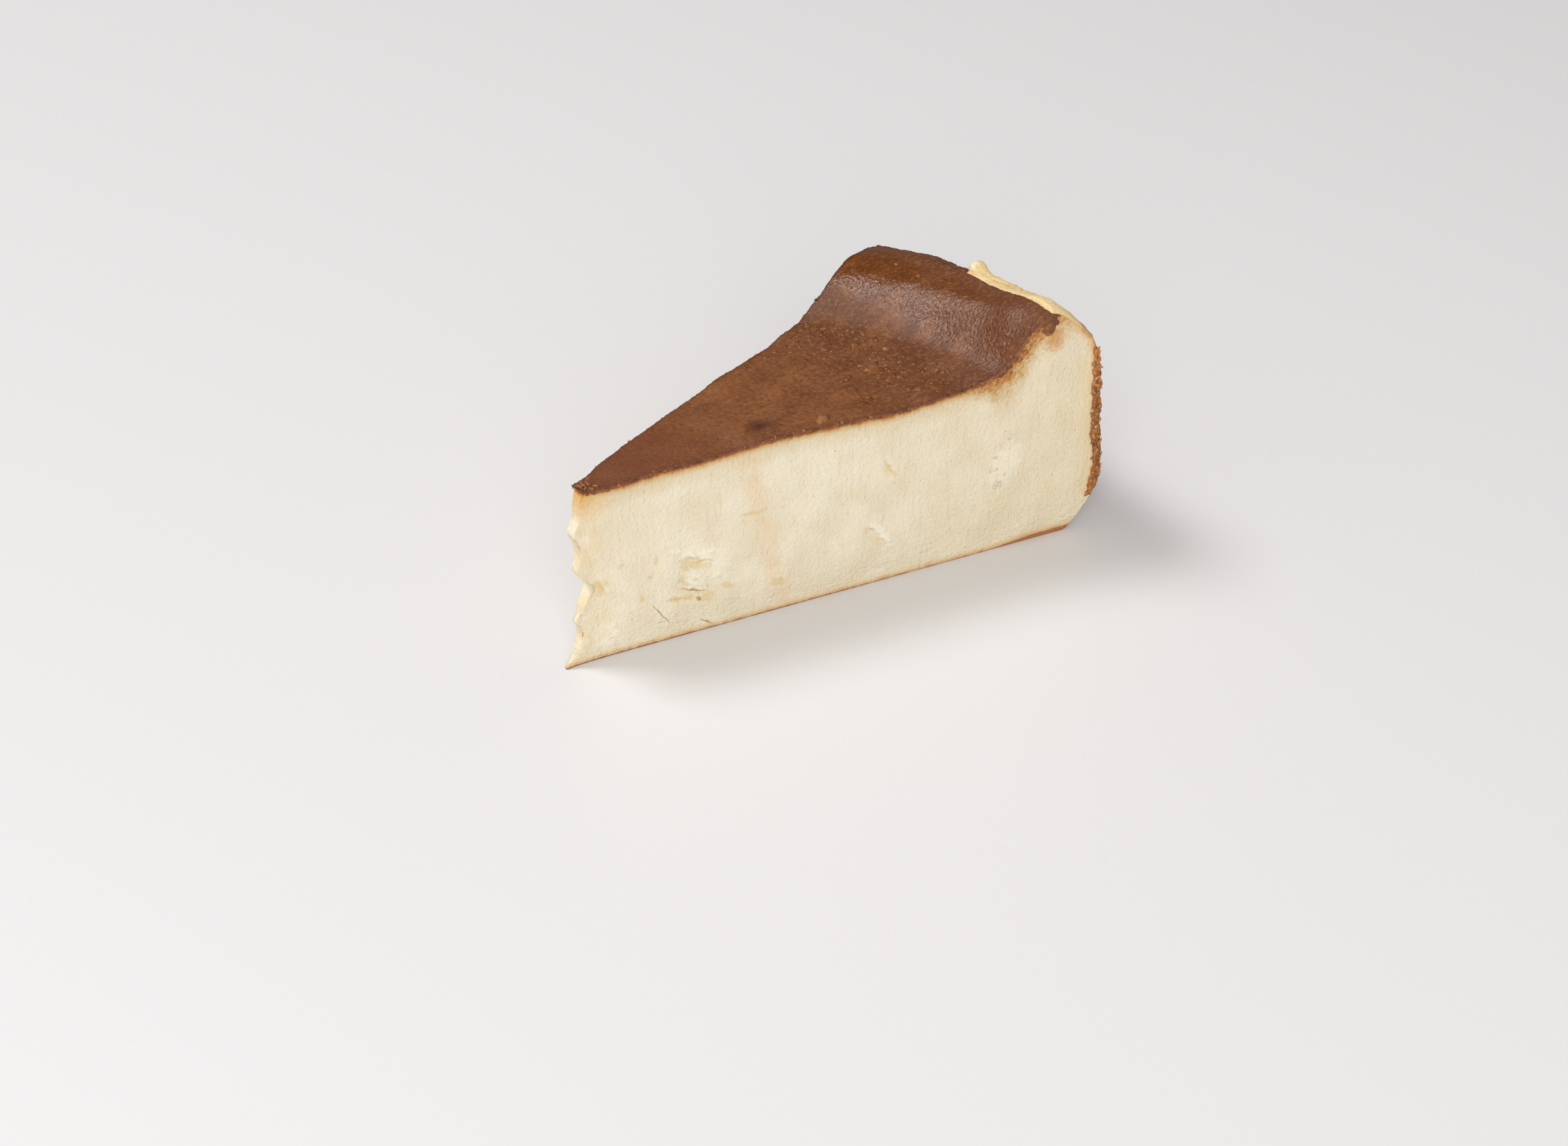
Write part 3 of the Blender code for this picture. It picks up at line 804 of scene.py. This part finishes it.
def cream_crumb_spots(draw):
    """Crumbs of cream where the cuts are torn, and on the ragged tip."""
    cuts = ((0.0, 1, NEAR_PATCHES + NEAR_LAYERS), (1.0, -1, FAR_PATCHES + FAR_LAYERS))
    for across, side, patches in cuts:
        for at_reach, at_height, half_width, half_height in patches:
            for _ in range(PATCH_CRUMBS):
                reach = max(at_reach + draw.gauss(0.0, 0.6) * half_width, 3.0 * MM)
                height = at_height + draw.gauss(0.0, 0.6) * half_height
                height = min(max(height, 1.5 * MM), 38.0 * MM)
                place = cut_spot(reach, across, height)
                size = draw.uniform(0.15, 0.36) * MM
                yield place, cut_outward(side), (size * 1.8, size, size * 0.45), draw.random()
        for _ in range(RIM_CRUMBS):
            place = edge_spot(across, draw.uniform(18.0, 38.0) * MM, draw.uniform(0.9, 2.2) * MM)
            size = draw.uniform(0.15, 0.32) * MM
            sizes = (size * 2.0, size, size * 0.6)
            yield place + cut_outward(side) * 0.25 * MM, cut_outward(side), sizes, draw.random()


def chunk_spots(draw):
    """The chunk of skin that hangs over the near cut at the crest."""
    for reach, height, half, shade in CHUNK:
        place = cut_spot(reach, 0.0, height) - cut_outward(1) * 0.2 * MM
        yield place, cut_outward(1), (half, half * 0.85, half * 0.4), shade


def make_ledge(surface):
    """The torn ribbon of cream that stands up behind the crest and ends in a knob."""
    rings, around = 150, 20
    share = np.linspace(0.0, 1.0, rings)
    across = mix(0.02, LEDGE_SPAN + 0.02, share)
    reach = np.full(rings, LEDGE_REACH) + 0.4 * MM * np.sin(across * 40.0)
    height = shoulder_height(reach, across)
    knob = bell(share - 0.945, 0.06)
    radius = mix(0.75, 1.0, share) * MM + 0.5 * MM * knob
    radius = radius * ease(share, -0.02, 0.06) * np.sqrt(np.clip((1.002 - share) / 0.05, 0.0, 1.0))
    centre = settled(on_slice(reach, across, height), reach, across, height)
    centre[:, 2] += (0.6 * share**2 + 0.8 * ease(share, 0.8, 0.98)) * MM
    turn = np.linspace(0.0, 2.0 * np.pi, around, endpoint=False)
    bearing = (0.5 - across) * WEDGE
    outwards = np.stack((np.sin(bearing), np.cos(bearing), np.zeros(rings)), axis=1)
    upright = np.array((0.0, 0.0, 1.0))
    ring = np.cos(turn)[None, :, None] * outwards[:, None, :] * 1.25
    ring = ring + np.sin(turn)[None, :, None] * upright
    places = (centre[:, None, :] + ring * radius[:, None, None]).reshape(-1, 3)
    swell = 0.2 * MM * grain(places, 1.6 * MM, 31.0) + 0.07 * MM * grain(places, 0.6 * MM, 37.0)
    places = places + ring.reshape(-1, 3) * (swell * np.repeat(radius > 0.2 * MM, around))[:, None]
    ids = np.arange(rings * around).reshape(rings, around)
    turned = np.roll(ids, -1, axis=1)
    quads = np.stack((ids[:-1], ids[1:], turned[1:], turned[:-1]), axis=-1).reshape(-1, 4).tolist()
    ends = [ids[0].tolist(), ids[-1][::-1].tolist()]
    measures = {"shade": np.repeat(share, around)}
    return mesh_object("torn_ledge", places, quads + ends, measures, surface)


class Surface:
    """A procedural material that is built up node by node."""

    def __init__(self, name):
        self.made = bpy.data.materials.new(name)
        self.made.use_nodes = True
        self.tree = self.made.node_tree
        self.shader = self.tree.nodes["Principled BSDF"]
        self.place = self.add("ShaderNodeTexCoord").outputs["Object"]
        self.colour = None

    def add(self, kind, **settings):
        """A new node with its settings."""
        node = self.tree.nodes.new(kind)
        for name, value in settings.items():
            setattr(node, name, value)
        return node

    def feed(self, socket, value):
        """Gives a socket a number or colour, or the output of another node."""
        if isinstance(value, bpy.types.NodeSocket):
            self.tree.links.new(value, socket)
        else:
            socket.default_value = value

    def set(self, name, value):
        """Sets one of the shader's own inputs."""
        self.feed(self.shader.inputs[name], value)

    def maths(self, operation, *values):
        """One step of arithmetic."""
        node = self.add("ShaderNodeMath", operation=operation)
        for socket, value in zip(node.inputs, values):
            self.feed(socket, value)
        return node.outputs[0]

    def plus(self, first, second, times=1.0):
        """First plus second times a number."""
        return self.maths("MULTIPLY_ADD", second, times, first)

    def times(self, first, second):
        """First times second."""
        return self.maths("MULTIPLY", first, second)

    def measures(self, *names):
        """Numbers stored in the mesh."""
        return [self.add("ShaderNodeAttribute", attribute_name=name).outputs["Fac"] for name in names]

    def step(self, value, start, end):
        """A smooth step from 0 at start to 1 at end."""
        node = self.add("ShaderNodeMapRange", interpolation_type="SMOOTHSTEP")
        falls = start > end
        low, high = (end, start) if falls else (start, end)
        given = (value, low, high, float(falls), float(not falls))
        for name, number in zip(("Value", "From Min", "From Max", "To Min", "To Max"), given):
            self.feed(node.inputs[name], number)
        return node.outputs["Result"]

    def mapped(self, stretch, turn, shift):
        """The place in space, stretched, turned and shifted."""
        mapping = self.add("ShaderNodeMapping")
        self.feed(mapping.inputs["Vector"], self.place)
        self.feed(mapping.inputs["Rotation"], (0.0, 0.0, turn))
        self.feed(mapping.inputs["Scale"], stretch)
        self.feed(mapping.inputs["Location"], (shift, 0.0, 0.0))
        return mapping.outputs[0]

    def noise(self, size, detail=3.0, stretch=(1.0, 1.0, 1.0), turn=0.0, shift=0.0):
        """Noise between about -1 and 1, with lumps of about a size in millimetres."""
        node = self.add("ShaderNodeTexNoise")
        self.feed(node.inputs["Vector"], self.mapped(stretch, turn, shift))
        self.feed(node.inputs["Scale"], 1.0 / (size * MM))
        self.feed(node.inputs["Detail"], detail)
        return self.maths("MULTIPLY_ADD", node.outputs[0], 3.4, -1.7)

    def cells(self, size, stretch=(1.0, 1.0, 1.0), turn=0.0, shift=0.0):
        """Distance from the nearest of many scattered points, in cells."""
        node = self.add("ShaderNodeTexVoronoi")
        self.feed(node.inputs["Vector"], self.mapped(stretch, turn, shift))
        self.feed(node.inputs["Scale"], 1.0 / (size * MM))
        return node.outputs["Distance"]

    def away(self, reach, high, centre, half, turn=0.0):
        """Distance from an oval on a cut, which is 1 on its outline."""
        joined = self.add("ShaderNodeCombineXYZ")
        cosine, sine = math.cos(math.radians(turn)), math.sin(math.radians(turn))
        for socket, size, share, rest in zip(joined.inputs, half, (cosine, -sine), (sine, cosine)):
            offset = -(centre[0] * share + centre[1] * rest) / size
            moved = self.maths("MULTIPLY_ADD", high, rest / size, offset)
            self.feed(socket, self.plus(moved, reach, share / size))
        length = self.add("ShaderNodeVectorMath", operation="LENGTH")
        self.feed(length.inputs[0], joined.outputs[0])
        return length.outputs["Value"]

    def blend(self, share, first, second):
        """A colour a share of the way from first to second."""
        node = self.add("ShaderNodeMix", data_type="RGBA")
        self.feed(node.inputs[0], share)
        self.feed(node.inputs[6], first)
        self.feed(node.inputs[7], second)
        return node.outputs[2]

    def lay(self, amount, over):
        """Lays another colour over the surface's own, by an amount."""
        self.colour = self.blend(amount, self.colour, over)

    def tone(self, value, start, end, share, over):
        """Lays a share of another colour over the own one as a value goes from start to end."""
        amount = self.step(value, start, end)
        self.lay(amount if share == 1.0 else self.times(amount, share), over)

    def bump(self, height, distance, under=None, strength=1.0):
        """Raises the surface by height times a distance in millimetres."""
        node = self.add("ShaderNodeBump")
        self.feed(node.inputs["Height"], height)
        self.feed(node.inputs["Distance"], distance * MM)
        self.feed(node.inputs["Strength"], strength)
        if under is not None:
            self.feed(node.inputs["Normal"], under)
        return node.outputs[0]


def soften(made, share, size):
    """Lets light pass a little way under the surface, as in cream."""
    made.set("Subsurface Weight", share)
    made.set("Subsurface Radius", (1.0, 0.65, 0.35))
    made.set("Subsurface Scale", size * MM)


def cream_surface():
    """Moist pale cream: mottled, yellow under the skin, browned at the rim and the base."""
    made = Surface("cream")
    plus, times, step = made.plus, made.times, made.step
    tone, lay = made.tone, made.lay
    reach, high, across, on_rim = made.measures("reach", "high", "across", "on_rim")
    under, in_rim, torn, crumbled = made.measures("under_skin", "in_rim", "torn", "crumbled")
    broad = made.noise(9.0, 2.0)
    middle = made.noise(2.6, shift=3.0)
    fine = made.noise(0.7, shift=5.0)
    streaks = made.noise(1.1, 3.0, (1.0, 1.0, 0.22), shift=7.0)
    near = step(across, 0.1, 0.0)
    made.colour = PALE_CREAM
    tone(broad, -0.8, 0.9, 1.0, WARM_CREAM)
    tone(reach, 45.0, 118.0, 0.45, DEEP_CREAM)
    band_at = plus(plus(45.2, high, -0.19), middle, 0.9)
    band = step(made.maths("ABSOLUTE", made.maths("SUBTRACT", reach, band_at)), 4.2, 0.4)
    patchy = step(middle, -1.2, 0.6)
    lay(times(times(band, near), times(patchy, 0.7)), PINK_CREAM)
    # Painted highlight on the raised lips of torn flakes, and painted shade in the recesses under
    # them
    tone(torn, 0.1, 0.8, 0.9, WHITE_CREAM)
    tone(torn, -0.1, -0.9, 0.7, RECESS_SHADE_CREAM)
    # Painted warm shade in the valleys of the knife streaks, whose bump is the same noise
    tone(streaks, -0.1, -1.1, 0.25, YELLOW)
    specks = step(plus(middle, fine, 0.6), 1.0, 1.45)
    lay(times(specks, 0.35), YELLOW)
    smeared = made.noise(0.9, 3.0, (0.4, 0.4, 1.0), shift=11.0)
    tone(smeared, 0.5, 1.2, 0.35, WHITE_CREAM)
    tone(smeared, -0.5, -1.2, 0.3, DEEP_CREAM)
    dots = step(made.cells(3.4, shift=2.0), 0.055, 0.03)
    lay(times(dots, 0.8), DOT)
    relief = plus(times(middle, 0.1), smeared, 0.08)
    warped = plus(plus(reach, middle, 0.35), fine, 0.22)
    raised = plus(plus(high, smeared, 0.3), fine, -0.16)
    # Lays the marks: real stains, paler cream with painted highlight, and painted shade in recesses
    # and splits
    for centre, half, turn, kind in NEAR_MARKS:
        look, share, rise = MARK_KINDS[kind]
        ragged = 0.0 if kind == "shade_line" else 0.45
        away = plus(made.away(warped, raised, centre, half, turn), smeared, ragged)
        mark = times(step(away, 1.1, 0.45), near)
        lay(times(mark, share), look)
        relief = plus(relief, mark, rise)
    tip = step(plus(reach, middle, 1.2), 12.0, 4.0)
    # Patchy yellow over the tip: partly the cream's own yellow there, partly painted warm shade for
    # its bays
    lay(times(times(tip, step(middle, 0.7, -0.7)), 0.4), YELLOW)
    tip_fade = times(tip, step(plus(under, middle, 0.7), 7.0, 1.0))
    on_slope = step(reach, 82.0, 95.0)
    ragged = plus(plus(under, middle, 0.28), fine, 0.2)
    ragged = plus(ragged, times(on_slope, plus(middle, fine, 1.3)), 1.3)
    depth = made.maths("SUBTRACT", ragged, plus(0.75, on_slope, 0.8))
    tone(depth, 5.5, 0.5, 0.55, HALO)
    shallow = made.maths("DIVIDE", depth, plus(1.0, on_slope, 3.4))
    tone(shallow, 1.8, 0.3, 0.75, GOLD)
    lay(times(tip_fade, 0.9), TIP_YELLOW)
    tone(shallow, 0.85, 0.15, 0.85, DEEP_GOLD)
    tone(shallow, 0.4, 0.0, 0.9, TOAST)
    tone(shallow, 0.2, -0.2, 1.0, DARK_TOAST)
    corner = plus(made.away(reach, high, (113.5, 45.0), (3.6, 9.0), 28), middle, 0.3)
    tone(corner, 1.2, 0.3, 0.6, PALE_ORANGE)
    smear = plus(made.away(reach, high, (104.2, 47.6), (2.2, 3.0)), fine, 0.35)
    lay(times(times(step(smear, 1.3, 0.2), near), 0.75), SMEAR)
    wall = times(step(high, 7.0, 9.0), step(high, 44.0, 37.0))
    inwards = plus(plus(in_rim, middle, 0.5), fine, 0.3)
    rounded = times(step(high, 36.0, 40.0), step(high, 52.0, 48.0))
    tone(inwards, 2.2, 0.4, rounded, PALE_CRUST)
    tone(inwards, 0.9, 0.3, rounded, PALE_TOAST)
    lay(times(times(step(inwards, 6.0, 0.8), wall), 0.6), YELLOW)
    inwards = plus(inwards, step(high, 34.0, 44.0), 0.8)
    tone(inwards, 1.9, 1.3, wall, TOAST)
    toasted = step(plus(plus(high, middle, 2.2), fine, 1.0), 52.0, 43.0)
    shoulder = made.blend(step(fine, -0.6, 0.8), TOAST, PALE_TOAST)
    shoulder = made.blend(toasted, SHOULDER, shoulder)
    foot = times(on_rim, step(plus(high, middle, 1.5), 2.0, 9.0))
    lay(times(foot, 0.45), PALE_TOAST)
    lay(times(on_rim, step(high, 8.0, 12.0)), shoulder)
    low = plus(plus(high, middle, 0.25), fine, 0.12)
    low = plus(low, step(plus(reach, middle, 2.0), 90.0, 104.0), -0.8)
    tone(low, 2.2, 0.6, 0.55, YELLOW)
    tone(low, 1.3, 0.3, 0.6, BASE_PALE)
    tone(low, 0.4, 0.05, 1.0, BASE_BROWN)
    made.set("Base Color", made.colour)
    made.set("Roughness", plus(0.5, fine, 0.05))
    made.set("Specular IOR Level", 0.35)
    soften(made, 0.3, 1.2)
    scratch = made.bump(streaks, 0.07, made.bump(relief, 0.3))
    strands = made.noise(0.8, 3.0, (0.3, 0.3, 1.0), shift=9.0)
    fibres = made.bump(strands, 0.1, scratch, step(high, 12.0, 3.0))
    pores = made.bump(step(made.cells(1.4), 0.28, 0.08), -0.03, fibres)
    rubbed = made.bump(fine, 0.09, pores)
    made.set("Normal", made.bump(middle, 0.15, rubbed, times(crumbled, 0.3)))
    return made.made


def skin_surface():
    """Burnt skin: mottled semi-gloss brown, leathery on the slope, crumbly toast on the side."""
    made = Surface("skin")
    plus, times, step = made.plus, made.times, made.step
    tone, lay = made.tone, made.lay
    reach, high, across, on_side = made.measures("reach", "high", "across", "on_side")
    layer, edge, glossy, spot = made.measures("layer", "from_edge", "glossy", "spot")
    broad = made.noise(11.0, shift=2.0)
    middle = made.noise(2.4, shift=4.0)
    fine = made.noise(0.55, shift=6.0)
    fuzz = made.noise(0.7, 4.0, (1.0, 0.25, 1.0), 0.9, 8.0)
    far_in = step(plus(reach, broad, 6.0), 52.0, 84.0)
    made.colour = BROWN
    lay(far_in, DARK_BROWN)
    clouds = made.noise(5.0, 3.0, (1.0, 0.45, 1.0), 0.9, 14.0)
    tone(clouds, 0.0, 0.7, 0.4, CLOUD_PALE)
    tone(clouds, 0.0, -0.7, 0.4, CLOUD_DARK)
    tone(reach, 92.0, 101.0, 1.0, CREST_BROWN)
    tone(middle, 0.1, 1.2, 0.4, RED_BROWN)
    tone(fuzz, 0.1, 1.0, 0.55, PALE_BROWN)
    tone(fuzz, -0.1, -1.0, 0.65, RED_BROWN)
    speckle = made.noise(0.9, 4.0, shift=12.0)
    tone(speckle, 0.05, 0.6, 0.45, SPECKLE_PALE)
    tone(speckle, -0.05, -0.6, 0.5, SPECKLE_DARK)
    tone(reach, 46.0, 12.0, 0.8, RED_BROWN)
    lay(times(spot, 0.9), SPOT_BROWN)
    near_edge = step(plus(plus(edge, middle, 0.3), fine, 0.3), 0.8, 0.0)
    lay(times(near_edge, 0.5), CLOUD_DARK)
    side = made.blend(step(plus(middle, fine, 0.6), -0.9, 0.6), DARK_TOAST, TOAST)
    side = made.blend(times(step(fine, 0.1, 0.8), 0.5), side, PALE_TOAST)
    paler = times(step(plus(high, middle, 2.0), 36.0, 44.0), step(across, 0.2, 0.02))
    side = made.blend(step(plus(high, middle, 2.0), 38.0, 45.0), side, made.colour)
    side = made.blend(times(paler, 0.7), side, PALE_TOAST)
    lay(on_side, side)
    deep = plus(plus(layer, fine, 0.22), middle, 0.12)
    tone(deep, 0.8, 0.4, 0.6, UNDER_BROWN)
    tone(deep, 0.4, 0.0, 0.8, TOAST)
    made.set("Base Color", made.colour)
    rough = plus(plus(plus(0.54, glossy, -0.3), fine, 0.05), on_side, 0.2)
    made.set("Roughness", rough)
    made.set("Specular IOR Level", 0.5)
    soften(made, 0.05, 0.8)
    leather = made.bump(made.noise(0.6, 3.0, (1.0, 0.5, 1.0), 0.3, 10.0), 0.04, None, glossy)
    made.set("Normal", made.bump(plus(fine, fuzz, 0.8), 0.05, leather))
    return made.made


def lump_surface(name, light, dark, roughness, soft):
    """Crumbs and blisters, each a shade of its own between two colours."""
    made = Surface(name)
    fine = made.noise(0.4, 2.0)
    shade = made.plus(*made.measures("shade"), fine, 0.15)
    made.set("Base Color", made.blend(shade, dark, light))
    made.set("Roughness", made.plus(roughness, fine, 0.05))
    soften(made, soft, 1.0)
    made.set("Normal", made.bump(made.noise(0.3, 2.0), 0.05))
    return made.made


def ledge_surface():
    """Torn yellow cream, toasted towards the near cut."""
    made = Surface("torn_ledge")
    middle = made.noise(1.6)
    fine = made.noise(0.5)
    share = made.plus(*made.measures("shade"), middle, 0.1)
    made.colour = SHOULDER
    made.tone(share, 0.0, 0.5, 1.0, LEDGE_DEEP)
    made.tone(share, 0.86, 0.98, 1.0, LEDGE_PALE)
    spots = made.step(made.plus(middle, fine, 0.6), 0.1, 0.7)
    spots = made.times(spots, made.step(share, 0.8, 0.5))
    made.lay(made.times(spots, 0.75), LEDGE_SPOT)
    made.tone(made.plus(share, fine, 0.1), 0.4, 0.0, 0.6, PALE_TOAST)
    made.set("Base Color", made.colour)
    made.set("Roughness", made.plus(0.5, fine, 0.05))
    soften(made, 0.3, 1.5)
    made.set("Normal", made.bump(fine, 0.1, made.bump(middle, 0.2)))
    return made.made


def pale_floor():
    """A wide pale floor under the slice."""
    data = bpy.data.meshes.new("floor")
    corners = [(-FLOOR, -FLOOR, 0), (FLOOR, -FLOOR, 0), (FLOOR, FLOOR, 0), (-FLOOR, FLOOR, 0)]
    data.from_pydata(corners, [], [(0, 1, 2, 3)])
    made = Surface("floor")
    made.set("Base Color", FLOOR_GREY)
    made.set("Roughness", 0.5)
    data.materials.append(made.made)
    floor = bpy.data.objects.new("floor", data)
    bpy.context.scene.collection.objects.link(floor)


def add_light(name, place, size, power):
    """A square soft light at a place, pointed at the slice."""
    data = bpy.data.lights.new(name, "AREA")
    data.size = size
    data.energy = power
    light = bpy.data.objects.new(name, data)
    light.location = place
    ahead = Vector((0.0, 0.0, 0.02)) - Vector(place)
    light.rotation_euler = ahead.to_track_quat("-Z", "Y").to_euler()
    bpy.context.scene.collection.objects.link(light)


def light_studio():
    """Soft light from the left and above, with pale surroundings that fill the shadows."""
    world = bpy.data.worlds.new("surroundings")
    world.use_nodes = True
    back = world.node_tree.nodes["Background"]
    back.inputs["Color"].default_value = (1.0, 0.99, 0.985, 1.0)
    back.inputs["Strength"].default_value = WORLD_LIGHT
    world.cycles_visibility.glossy = False
    bpy.context.scene.world = world
    add_light("key", KEY_PLACE, KEY_SIZE, KEY_POWER)
    add_light("fill", FILL_PLACE, FILL_SIZE, FILL_POWER)


def place_camera():
    """The photo's view."""
    data = bpy.data.cameras.new("view")
    data.lens = CAMERA_LENS
    data.sensor_width = CAMERA_SENSOR
    data.sensor_fit = "HORIZONTAL"
    data.clip_start = 0.01
    ahead = Vector(CAMERA_AHEAD).normalized()
    right = Vector(CAMERA_RIGHT).normalized()
    above = right.cross(ahead)
    turned = right * math.cos(CAMERA_ROLL) + above * math.sin(CAMERA_ROLL)
    above = above * math.cos(CAMERA_ROLL) - right * math.sin(CAMERA_ROLL)
    axes = Matrix((turned, above, -ahead)).transposed().to_4x4()
    camera = bpy.data.objects.new("view", data)
    camera.matrix_world = Matrix.Translation(Vector(CAMERA_PLACE)) @ axes
    bpy.context.scene.collection.objects.link(camera)
    bpy.context.scene.camera = camera


def add_piece(piece):
    """Fixes a piece to the slice."""
    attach(piece, "root")
    return piece


APEX_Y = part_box(NODE)[0].y + APEX_IN
noise.seed_set(NOISE_START)

bpy.context.scene.view_settings.view_transform = "Standard"
place_camera()
light_studio()
pale_floor()

draw = random.Random(7)
CRUMB = lump_surface("crumb", CRUMB_PALE, DARK_TOAST, 0.75, 0.1)
BLISTER = lump_surface("blister", PALE_BROWN, RED_BROWN, 0.25, 0.05)
CREAM_CRUMB = lump_surface("cream_crumb", PALE_CREAM, WARM_CREAM, 0.6, 0.3)

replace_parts(add_piece(make_cream(cream_surface())), NODE)
add_piece(make_skin(skin_surface()))
add_piece(make_ledge(ledge_surface()))
add_piece(scatter("blisters", list(blister_spots(draw)), 2, 0.4, BLISTER))
add_piece(scatter("skin_crumbs", list(skin_crumb_spots(draw)), 2, 1.2, CRUMB))
add_piece(scatter("side_crumbs", list(side_crumb_spots(draw)), 2, 1.2, CRUMB))
cream_crumbs = scatter("cream_crumbs", list(cream_crumb_spots(draw)), 2, 1.0, CREAM_CRUMB)
add_piece(cream_crumbs)
add_piece(scatter("hanging_chunk", list(chunk_spots(draw)), 4, 0.55, CRUMB))
